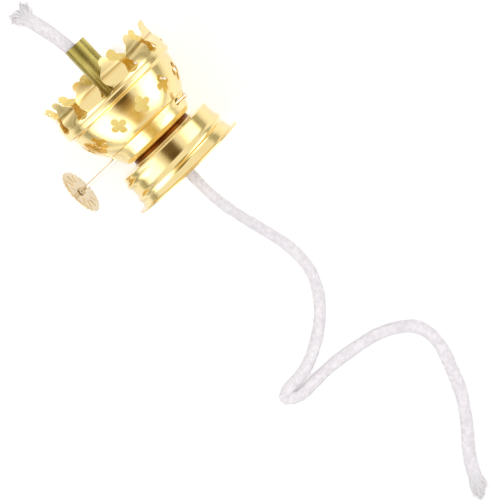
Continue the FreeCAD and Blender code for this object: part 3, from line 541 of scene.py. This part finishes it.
make_piece("crown_basket_spun", "burner", CREASE_SHADED_BRASS, crown_sheets(),
           replaces=["crown_basket"], wall=0.3, edge=0.07, inside=BARE_INSIDE)


# Base cup with its two slots, where the raiser's shaft passes through the band between its rim and its bowl
CUP_BAND, BAND_RADIUS = 12.3, 12.2
cup_wall = softened(traced([
    (12.3, CUP_RIM), (12.0, 14.4), (10.75, 11.7, 0.03), (10.2, 10.95, 0.05), (8.95, 10.45, -0.05),
    (8.6, 10.2), (8.6, 8.62), (9.1, 8.5),
], 0.1), 3)
SLOT_SPREAD = math.acos(RAISER_OFFSET / BAND_RADIUS)
SLOT_ANGLES = (RAISER_BEARING - SLOT_SPREAD, RAISER_BEARING + SLOT_SPREAD)
SLOT_REACH = math.radians(17)


def cup_radius(height):
    """The cup's outside radius at a height."""
    return np.interp(height, cup_wall[::-1, 1], cup_wall[::-1, 0])


def cup_sheets():
    """Sheets whose radius is the cup's at z: two cells of the band about their slots, the rest of the band,
    and the bowl turned below it."""
    wide, high = 18, 14
    half_band = (CUP_RIM - CUP_BAND) / 2
    middle = CUP_RIM - half_band
    frame_outline = frame_points(SLOT_REACH * BAND_RADIUS, half_band, wide, high)

    # Slot: two half rounds with a short straight between them, kept a lip below the rim
    toward = np.arctan2(frame_outline[:, 1], frame_outline[:, 0])
    straight, slot_round, lip = 0.3, 0.72, 0.12
    on_end = slot_round ** 2 - (straight * np.sin(toward)) ** 2
    reach = np.where(
        np.abs(np.tan(toward)) * straight > slot_round,
        slot_round / np.maximum(np.abs(np.sin(toward)), 1e-6),
        straight * np.abs(np.cos(toward)) + np.sqrt(np.maximum(on_end, 0)),
    )
    slot = np.stack([reach * np.cos(toward), reach * np.sin(toward) + (RAISER_HEIGHT - middle)], -1)
    slot[:, 1] = np.minimum(slot[:, 1], half_band - lip)
    grid = pierced(frame_outline, slot)
    height = middle + grid[..., 1]
    centres = np.array(SLOT_ANGLES)[:, None, None]
    spread = centres + grid[None, ..., 0] / BAND_RADIUS
    cells = place(round_the_axis(cup_radius(height), spread, height))

    # Plain stretches of the band between the two slots, and the bowl and neck below, on the same columns
    first, second = SLOT_ANGLES
    stops = [(first + SLOT_REACH, second - SLOT_REACH, 52),
             (second + SLOT_REACH, first - SLOT_REACH + FULL_TURN, 98)]
    band_z = np.linspace(CUP_RIM, CUP_BAND, high + 1)[:, None]
    plain = [place(round_the_axis(cup_radius(band_z), np.linspace(a, b, n + 1), band_z)) for a, b, n in stops]
    angle = np.concatenate([
        np.linspace(first - SLOT_REACH, first + SLOT_REACH, wide, endpoint=False),
        np.linspace(stops[0][0], stops[0][1], stops[0][2], endpoint=False),
        np.linspace(second - SLOT_REACH, second + SLOT_REACH, wide, endpoint=False),
        np.linspace(stops[1][0], stops[1][1], stops[1][2], endpoint=False),
    ])
    low = cup_wall[cup_wall[:, 1] < CUP_BAND - 0.04]
    rows = np.concatenate([[[cup_radius(CUP_BAND), CUP_BAND]], low])
    bowl = place(round_the_axis(rows[:, :1], angle, rows[:, 1:]))
    return [(cells, False, True), (plain[0], False, False), (plain[1], False, False), (bowl, False, True)]


make_piece("base_cup_spun", "burner", LACQUERED, cup_sheets(),
           replaces=["base_cup"], wall=0.35, edge=0.07)

# Neck ring: a washer with a low collar that fills the groove under the cup and carries the groove's painted
# shade
ring_profile = softened(traced([
    (8.65, 9.14), (9.2, 9.14), (9.2, 9.42), (8.8, 9.48), (8.8, 10.2), (8.65, 10.2), (8.65, 9.3),
], 0.06), 3, True)
make_piece("neck_ring_turned", "burner", GROOVE_SHADED_BRASS, [(turned(ring_profile), True, True)],
           replaces=["neck_ring"])


# Screw cap: a drawn cap with a rolled thread and a turned-out flange. The thread's angles are in degrees
THREAD_START, THREAD_FOOT, THREAD_PITCH = 6, 2.43, 4.23
THREAD_HALF, THREAD_RISE = 1.4, 0.62
THREAD_FADE_IN, THREAD_FADE_OUT = (-45, 5), (375, 430)


def thread_swell(angle, height):
    """How far the rolled thread stands out: rise cos^2(pi/2 d / half), d being the height above or below its
    line z = foot + pitch turns. It fades in and out at its ends."""
    past_start = np.degrees(angle) % 360 - THREAD_START
    swell = 0
    for turn in (-360, 0, 360):
        along = past_start + turn
        middle = THREAD_FOOT + THREAD_PITCH * along / 360
        fade = plateau(along, THREAD_FADE_IN, THREAD_FADE_OUT)
        off = np.clip(np.abs(height - middle) / THREAD_HALF, 0, 1)
        swell = swell + fade * np.cos(off * math.pi / 2) ** 2
    return THREAD_RISE * swell


def cap_sheets():
    """One closed sheet: the wall's outline (r, z) turned about the axis, its skirt swelled by the thread."""
    outer = softened(traced([
        (8.68, 9.2), (9.3, 9.2), (11.0, 9.14), (13.45, 9.1), (13.8, 8.78, -0.2), (13.86, 5.8), (13.88, 3.0),
        (14.15, 2.3), (14.5, 0.6), (14.8, 0.5), (16.2, 0.5), (16.35, 0.25), (16.2, 0.0),
    ], 0.12), 3)
    inner = softened(traced([
        (16.2, 0.0), (13.85, 0.0), (13.85, 2.2), (13.15, 2.8), (13.2, 8.4), (12.75, 8.7, 0.2), (11.0, 8.7),
        (9.2, 8.8), (8.68, 8.8),
    ], 0.16), 2)
    loop = np.concatenate([outer, inner[1:]])
    columns = 288
    angle = np.arange(columns) * FULL_TURN / columns
    radius, height = loop[:, :1] + 0 * angle, loop[:, 1:]

    # The thread is rolled into the skirt alone, weaker inside, and dies out where the flange begins
    skirt_inside, flange_inside, blend, inner_share = 12.6, 14.5, 0.6, 0.9
    on_skirt = plateau(height, (1.4, 2.4), (7.6, 8.5)) * (radius > skirt_inside)
    room = np.clip(flange_inside - radius, 0, blend) / blend
    outside = np.arange(len(loop))[:, None] < len(outer)
    swell = thread_swell(angle, height) * on_skirt
    radius = radius + np.where(outside, swell * room, swell * inner_share)
    return [(place(round_the_axis(radius, angle, height)), True, True)]


make_piece("screw_cap_rolled", "burner", LACQUERED, cap_sheets(), replaces=["screw_cap"])


# Wick tube: rolled sheet whose lap stands proud along its seam, with the spur wheel's window
def tube_sheets():
    """Sheets of the lapped tube: a cell about the window, the rest of its band, and the parts below and
    above."""
    radius, low, high = 3.05, 5.5, 41.0
    seam_at, slit = math.radians(164), 1e-5
    lap, groove_depth, groove_reach, lean = 0.16, 0.3, math.radians(6), 0.45
    window_half_width, window_half_height = 0.8, 2.6
    wide, tall = 12, 24
    cell_half, cell_half_height = math.radians(30), 4.0
    cell = frame_points(cell_half, cell_half_height, wide, tall)
    hole = frame_points(window_half_width / radius, window_half_height, wide, tall)
    grid = pierced(cell, hole, 4)

    def lapped(angle, height):
        """Row metres on the sheet, whose radius falls by the lap from one side of the seam round to the other
        and by the groove at it. The tube's top leans away from the thumb wheel."""
        past_seam = (angle - seam_at) % FULL_TURN
        groove = np.clip(1 - np.minimum(past_seam, FULL_TURN - past_seam) / groove_reach, 0, 1)
        points = round_the_axis(radius - lap * past_seam / FULL_TURN - groove_depth * groove, angle, height)
        points[..., 0] -= lean * (points[..., 2] - low) / (high - low)
        return place(points)

    sheets = [(lapped(RAISER_BEARING + grid[..., 0], RAISER_HEIGHT + grid[..., 1]), False, True)]
    band_z = RAISER_HEIGHT + np.linspace(-cell_half_height, cell_half_height, tall + 1)
    before = np.linspace(RAISER_BEARING + cell_half, seam_at - slit, 25)
    after = np.linspace(seam_at + slit, RAISER_BEARING - cell_half + FULL_TURN, 120)
    for part in (before, after):
        sheets.append((lapped(part, band_z[:, None]), False, False))
    inside = np.linspace(RAISER_BEARING - cell_half, RAISER_BEARING + cell_half, wide + 1)
    around = np.concatenate([after, inside[1:-1] + FULL_TURN, before + FULL_TURN])
    for z in (np.linspace(low, band_z[0], 8), np.linspace(band_z[-1], high, 26)):
        sheets.append((lapped(around, z[:, None]), False, True))
    return sheets


make_piece("wick_tube_rolled", "burner", DRAWN, tube_sheets(), replaces=["wick_tube"],
           wall=0.3, edge=0.06)


# Raiser: axle with its headed end and rivet, the thumb wheel and its collar
shaft_profile = softened(traced([
    (0.0, -13.9), (0.55, -13.9), (0.75, -13.7), (0.75, -13.4), (0.575, -13.2), (0.575, 23.6), (0.9, 23.6),
    (0.86, 23.78), (0.45, 23.9), (0.0, 23.92),
], 0.08), 2)
make_piece("raiser_axle", "raiser", BRIGHT,
           [(turned_on_raiser(shaft_profile, 32), False, True)], replaces=["raiser_shaft"])


def wheel_sheets():
    """Pressed disc: both faces follow z = rays + rim bead + boss, and the scallops bite into the rim."""
    scallops, rays, outer = 24, 12, 6.2
    bite_depth, bite_half = 0.26, 0.44
    ray_height, ray_half, bead_height, boss_height = 0.13, 0.42, 0.08, 0.10
    columns = scallops * 16
    angle = np.arange(columns) * FULL_TURN / columns
    pitch = FULL_TURN / scallops
    off = np.abs((angle + pitch / 2) % pitch - pitch / 2) * outer
    rim = outer - bite_depth * np.clip(1 - (off / bite_half) ** 2, 0, 1) ** 0.8
    share = np.concatenate([np.linspace(0.0, 0.9, 44), np.linspace(0.9, 0.985, 8)[1:]])[:, None]
    radius = share * rim
    ray_pitch = FULL_TURN / rays
    side = np.abs((angle + ray_pitch / 2) % ray_pitch - ray_pitch / 2) * radius
    along = plateau(radius, (2.5, 3.1), (4.9, 5.4))
    press = ray_height * along * np.clip(1 - (side / ray_half) ** 2, 0, 1)
    press = press + bead_height * plateau(radius, (5.45, 5.7), (5.75, 6.0))
    press = press + boss_height * (1 - smooth_step(radius, 1.5, 2.1))
    near, far = 23.12, 23.53
    x, z = radius * np.cos(angle), radius * np.sin(angle)
    edge_x, edge_z = rim * np.cos(angle), rim * np.sin(angle)
    edge = [on_raiser(edge_x, edge_z, near + (far - near) * t)[None] for t in (0.2, 0.5, 0.8)]
    grid = np.concatenate([on_raiser(x, z, near + press), *edge, on_raiser(x, z, far + press)[::-1]])
    return [(grid, False, True)]


make_piece("thumb_wheel_pressed", "raiser", BRIGHT, wheel_sheets(), replaces=["thumb_wheel"])
collar_profile = softened(traced([
    (0.585, 22.3), (0.95, 22.3), (1.0, 22.4), (1.0, 23.0), (1.15, 23.1), (0.585, 23.1), (0.585, 22.4),
], 0.08), 2, True)
make_piece("wheel_collar_turned", "raiser", BRIGHT,
           [(turned_on_raiser(collar_profile, 32), True, True)], replaces=["wheel_collar"])

# Inner pieces keep their CAD meshes
for node_name, finish in (("air_plate", PRESSED), ("deck_plate", DRAWN), ("spur_bracket", DRAWN),
                          ("spur_wheel", DRAWN)):
    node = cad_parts[node_name]
    node.data.materials.clear()
    node.data.materials.append(finish)


# Wick: a braided cord, with loose yarn at both ends. Bumps are counted round it and pitched along it in
# millimetres, and their height is a share of its half width
UP = np.array([0.0, 0.0, 1.0])
BUMP_COUNT, BUMP_PITCH, BUMP_SHARE = 10, 1.7, 0.055
END_ROUND = 0.8
BRAID_STEP = 0.16
YARN_RADIUS = 0.26


def along_line(points):
    """Distance along a line at each of its points."""
    return np.concatenate([[0], np.cumsum(np.linalg.norm(np.diff(points, axis=0), axis=1))])


def braided(line, half_widths, half_height, seed):
    """Braided tube about a line: C + cos a w S + sin a h U, w going from the first half width to the last.
    The radii are swelled by the braid's staggered bumps, share cos(count a) cos(2 pi s / pitch), and by slow
    lumps, and the ends close in a round."""
    reach = along_line(line)
    s = np.arange(0, reach[-1], BRAID_STEP * MM)
    centre = np.stack([np.interp(s, reach, line[:, k]) for k in range(3)], -1)
    tangent = np.gradient(centre, axis=0)
    tangent /= np.linalg.norm(tangent, axis=1)[:, None]
    side = np.cross(tangent, UP)
    side /= np.linalg.norm(side, axis=1)[:, None]
    lift = np.cross(side, tangent)
    columns = 44
    angle = np.arange(columns) * FULL_TURN / columns
    bumps = BUMP_SHARE * np.cos(BUMP_COUNT * angle) * np.cos(FULL_TURN * s / (BUMP_PITCH * MM))[:, None]
    per_mm = int(round(1 / BRAID_STEP))
    width = np.linspace(*half_widths, len(s))
    width = width * (1 + 0.05 * wander(len(s), 4 * per_mm, seed) + 0.03 * wander(len(s), per_mm, seed + 1))
    height = half_height * (1 + 0.04 * wander(len(s), 3 * per_mm, seed + 2))
    close = np.sqrt(np.clip(np.minimum(s, s[-1] - s) / (END_ROUND * MM), 0, 1))[:, None]
    swell = (1 + bumps) * close * MM
    return (centre[:, None] + side[:, None] * (np.cos(angle) * swell * width[:, None])[..., None]
            + lift[:, None] * (np.sin(angle) * swell * height[:, None])[..., None])


tail_line = spline_points(np.array(TAIL_LINE) + (FLANGE_X, AXIS_Y, 0.0))
tail = make_piece("wick_tail_braided", "wick", COTTON,
                  [(braided(tail_line, (1.35, 1.75), 1.38, seed=11), False, True)], replaces=["wick_tail"])

# The wick in the tube and its stub, as (height, how far over towards the thumb wheel)
STUB_BEND = ((5.5, 0.8), (40.5, 0.8), (44.0, 1.15), (47.5, 1.8), (53.0, 3.2), (54.0, 3.45))
stub_z = np.linspace(5.5, 53.8, 120)
stub_over = np.interp(stub_z, *zip(*STUB_BEND))
stub_line = softened(place(np.stack([stub_over, 0 * stub_z, stub_z], -1)), 8)
make_piece("wick_core_braided", "wick", COTTON,
           [(braided(stub_line, (1.5, 1.75), 1.42, seed=21), False, True)], replaces=["wick_core"])


def end_ways(line, back):
    """A line's end, the way that it has over its last points, and the level way across that."""
    forward = line[-1] - line[-1 - back]
    forward /= np.linalg.norm(forward)
    return line[-1], forward, np.cross(UP, forward)


def yarn_ends(root, forward, side, clumps, count, seed):
    """Loose yarn ends out of the wick's end: Bezier lines (1 - t)^2 A + 2 t (1 - t) B + t^2 C from the root's
    round to points about each clump's tip, tapering to nothing. clumps are (share, forward mm, sideways mm,
    upwards mm, spread mm)."""
    root_depths, root_half_width, root_half_height, lowest_end = (-2.4, -1.2), 1.35, 1.15, -1.3
    rng = np.random.default_rng(seed)
    shares = np.array([c[0] for c in clumps])
    pick = rng.choice(len(clumps), count, p=shares / shares.sum())
    aims = np.array([c[1:4] for c in clumps])[pick]
    spread = np.array([c[4] for c in clumps])[pick][:, None]
    lift = np.cross(side, forward)
    around, out = rng.uniform(0, FULL_TURN, count), np.sqrt(rng.uniform(0, 1, count))
    start = np.stack([
        rng.uniform(*root_depths, count),
        root_half_width * out * np.cos(around),
        root_half_height * out * np.sin(around),
    ], -1)
    end = aims + rng.normal(0, 1, (count, 3)) * spread
    end[:, 2] = np.clip(end[:, 2], lowest_end, None)
    bend = np.stack([0.55 * end[:, 0], start[:, 1] * 1.25 + 0.25 * end[:, 1], start[:, 2] * 1.2], -1)
    t = np.linspace(0, 1, 14)[:, None]
    a, b, c = start[:, None], bend[:, None], end[:, None]
    line = (1 - t) ** 2 * a + 2 * t * (1 - t) * b + t ** 2 * c
    tangent = np.gradient(line, axis=1)
    tangent /= np.linalg.norm(tangent, axis=2)[..., None]
    across = np.cross(tangent, np.array([0.1, 0.2, 1.0]))
    across /= np.linalg.norm(across, axis=2)[..., None]
    upper = np.cross(tangent, across)
    sides = 6
    turn = np.arange(sides) * FULL_TURN / sides
    size = YARN_RADIUS * rng.uniform(0.5, 1.2, count)[:, None, None, None] * (1 - t ** 1.6)[None, :, :, None]
    ring = across[:, :, None] * np.cos(turn)[:, None] + upper[:, :, None] * np.sin(turn)[:, None]
    yarn = line[:, :, None] + ring * size
    basis = np.stack([forward, side, lift])
    return root + (yarn @ basis) * MM


TOP_CLUMPS = (
    (6, 3.4, 2.2, 0.0, 0.45), (4, 2.3, 3.3, 0.0, 0.35), (2, 0.8, 2.7, 0.0, 0.3), (4, 3.3, 0.5, 0.1, 0.4),
    (4, 3.3, -2.6, 0.1, 0.25), (3, 2.0, -3.5, 0.1, 0.25), (3, 0.3, -3.0, 0.1, 0.3), (3, 1.6, -1.0, 0.3, 0.4),
    (3, 1.7, 1.2, 0.3, 0.4),
)
make_piece("wick_tuft_top_frayed", "wick", FRAYED,
           [(yarn_ends(*end_ways(stub_line, 2), TOP_CLUMPS, count=340, seed=5), False, True)],
           replaces=["wick_tuft_top"])

TAIL_CLUMPS = (
    (5, 5.8, -0.2, -0.2, 0.35), (4, 4.6, 0.7, -0.2, 0.4), (3, 2.2, 2.0, -0.2, 0.4), (3, 2.2, -2.0, -0.2, 0.3),
    (3, 4.2, -1.5, -0.2, 0.35), (1, 3.2, 2.7, 0.0, 0.3),
)
tail_tuft = make_piece("wick_tuft_tail_frayed", "wick", FRAYED,
                       [(yarn_ends(*end_ways(tail_line, 3), TAIL_CLUMPS, count=300, seed=9), False, True)],
                       replaces=["wick_tuft_tail"])


# Studio: a white table and white surroundings, two soft lamps, and sheets that only show in the metal's gloss
def seen_directly(tree):
    """1 for the camera's, mirrored and transmitted rays, else 0."""
    path = add(tree, "ShaderNodeLightPath").outputs
    found = path["Is Camera Ray"]
    for kind in ("Is Glossy Ray", "Is Transmission Ray"):
        found = add(tree, "ShaderNodeMath", {"operation": "MAXIMUM"}, {0: found, 1: path[kind]}).outputs[0]
    return found


def floor_material():
    """Matt white paint that also glows to the camera and in reflections, where it shows nearly white."""
    made, tree = new_material("white_table")
    glow = value_range(tree, seen_directly(tree), 0.0, 0.4)
    paint = add(tree, "ShaderNodeBsdfDiffuse", inputs={"Color": (0.8, 0.8, 0.8, 1.0)})
    glowing = add(tree, "ShaderNodeEmission", inputs={"Strength": glow})
    both = add(tree, "ShaderNodeAddShader", inputs={0: paint.outputs[0], 1: glowing.outputs[0]})
    close_material(tree, both.outputs[0])
    return made


def plain_sheet(name, corners, finish):
    """One flat quad of the studio, with its own UV square."""
    mesh = bpy.data.meshes.new(name)
    mesh.from_pydata(corners, [], [(0, 1, 2, 3)])
    mesh.uv_layers.new(name="sheet").uv.foreach_set("vector", (0, 0, 1, 0, 1, 1, 0, 1))
    mesh.materials.append(finish)
    made = bpy.data.objects.new(name, mesh)
    bpy.context.scene.collection.objects.link(made)
    return made


plain_sheet("table", [(-1.5, -1.5, 0), (1.5, -1.5, 0), (1.5, 1.5, 0), (-1.5, 1.5, 0)], floor_material())


def sheet_material(name, colours, strength, soft, clouds=4.0):
    """Light or dark sheet, clouded between two colours, that fades out towards its edges over the share
    `soft` of its half size."""
    made, tree = new_material(name)
    across = add(tree, "ShaderNodeSeparateXYZ", inputs={
        "Vector": add(tree, "ShaderNodeUVMap").outputs["UV"]}).outputs
    mask = None
    for axis in ("X", "Y"):
        off = add(tree, "ShaderNodeMath", {"operation": "SUBTRACT"}, {0: across[axis], 1: 0.5}).outputs[0]
        off = add(tree, "ShaderNodeMath", {"operation": "ABSOLUTE"}, {0: off}).outputs[0]
        fade = add(tree, "ShaderNodeMapRange", {"interpolation_type": "SMOOTHSTEP"}, {
            "Value": off, "From Min": 0.5 * (1 - soft), "From Max": 0.5, "To Min": 1.0, "To Max": 0.0,
        }).outputs[0]
        if mask:
            fade = add(tree, "ShaderNodeMath", {"operation": "MULTIPLY"}, {0: mask, 1: fade}).outputs[0]
        mask = fade
    cloud = add(tree, "ShaderNodeTexNoise", inputs={
        "Vector": add(tree, "ShaderNodeUVMap").outputs["UV"], "Scale": clouds, "Detail": 3.0}).outputs["Fac"]
    glow = add(tree, "ShaderNodeEmission", inputs={
        "Color": ramp(tree, cloud, ((0.38, colours[0]), (0.62, colours[1]))), "Strength": strength})
    clear = add(tree, "ShaderNodeBsdfTransparent")
    both = add(tree, "ShaderNodeMixShader", inputs={0: mask, 1: clear.outputs[0], 2: glow.outputs[0]})
    close_material(tree, both.outputs[0])
    return made


def gloss_sheet(name, centre, length, width, finish, facing=None):
    """Sheet that faces the burner or another way, long in X, and shows only in the gloss: neither the camera
    nor the lamps meet it."""
    centre = np.array(centre, float)
    facing = -centre / np.linalg.norm(centre) if facing is None else np.array(facing, float)
    long_way = np.array([1.0, 0, 0]) - facing[0] * facing
    long_way /= np.linalg.norm(long_way)
    wide_way = np.cross(facing, long_way)
    a, b = long_way * length / 2, wide_way * width / 2
    sheet = plain_sheet(name, [centre - a - b, centre + a - b, centre + a + b, centre - a + b], finish)
    sheet.visible_camera = False
    sheet.visible_diffuse = False
    sheet.visible_shadow = False


# What the brass mirrors: brown and amber sheets above it, grey ones level with it and flat on the table, and
# a bright one on either side
LIGHT_SHEET = sheet_material("light_sheet", ("#f8f7f2", "#ffffff"), 3.2, 0.75)
DARK_SHEET = sheet_material("dark_sheet", ("#5e4724", "#aa8c58"), 1.0, 0.85, 22.0)
DARKEST_SHEET = sheet_material("darkest_sheet", ("#463218", "#6a522c"), 1.0, 0.8, 14.0)
DIM_SHEET = sheet_material("dim_sheet", ("#918e79", "#aaa792"), 1.0, 1.0)
SHADE_SHEET = sheet_material("shade_sheet", ("#55534b", "#6a685f"), 1.0, 1.0)
AMBER_SHEET = sheet_material("amber_sheet", ("#d4b466", "#e6cf8e"), 1.0, 0.85)
gloss_sheet("overhead_amber", (-0.24, -0.06, 0.60), 0.94, 0.54, AMBER_SHEET, (0, 0, -1))
gloss_sheet("overhead_dark", (-0.115, -0.055, 0.5), 0.52, 0.52, DARK_SHEET, (0, 0, -1))
gloss_sheet("overhead_darkest", (-0.055, -0.055, 0.48), 0.2, 0.4, DARKEST_SHEET, (0, 0, -1))
gloss_sheet("foot_amber", (-0.45, -0.03, 0.36), 0.6, 0.42, AMBER_SHEET)
gloss_sheet("foot_horizon", (-0.60, -0.02, 0.03), 0.2, 1.4, DIM_SHEET)
gloss_sheet("foot_table", (-0.23, -0.02, 0.001), 0.34, 0.8, DIM_SHEET, (0, 0, 1))
gloss_sheet("axle_table", (-0.06, 0.03, 0.001), 0.1, 0.07, SHADE_SHEET, (0, 0, 1))
gloss_sheet("left_light", (-0.30, 0.37, 0.30), 1.05, 0.76, LIGHT_SHEET)
gloss_sheet("right_light", (-0.30, -0.50, 0.25), 1.05, 0.76, LIGHT_SHEET)
for name, way in (("left", 1), ("right", -1)):
    gloss_sheet(name + "_horizon", (0.0, way * 0.32, 0.01), 1.2, 0.18, DIM_SHEET)
    gloss_sheet(name + "_table", (0.0, way * 0.19, 0.001), 0.6, 0.34, DIM_SHEET, (0, 0, 1))


def soft_lamp(name, place_at, size, power):
    """Soft lamp that faces the burner and leaves the gloss to the sheets."""
    data = bpy.data.lights.new(name, "AREA")
    data.shape = "RECTANGLE"
    data.size, data.size_y = size
    data.energy = power
    lamp = bpy.data.objects.new(name, data)
    lamp.location = place_at
    lamp.rotation_euler = (-Vector(place_at)).to_track_quat("-Z", "Y").to_euler()
    lamp.visible_camera = False
    lamp.visible_glossy = False
    bpy.context.scene.collection.objects.link(lamp)


soft_lamp("left_lamp", (0.0, 0.55, 0.6), (0.6, 0.45), 3.0)
soft_lamp("right_lamp", (0.0, -0.6, 0.55), (0.6, 0.45), 3.0)

world = bpy.data.worlds.new("white_room")
bpy.context.scene.world = world
world.use_nodes = True
world.node_tree.nodes.clear()
plain = value_range(world.node_tree, seen_directly(world.node_tree), 0.5, 1.0)
sky = add(world.node_tree, "ShaderNodeBackground", inputs={"Color": (1.0, 1.0, 1.0, 1.0), "Strength": plain})
add(world.node_tree, "ShaderNodeOutputWorld", inputs={"Surface": sky.outputs[0]})

bpy.context.scene.view_settings.view_transform = "Standard"
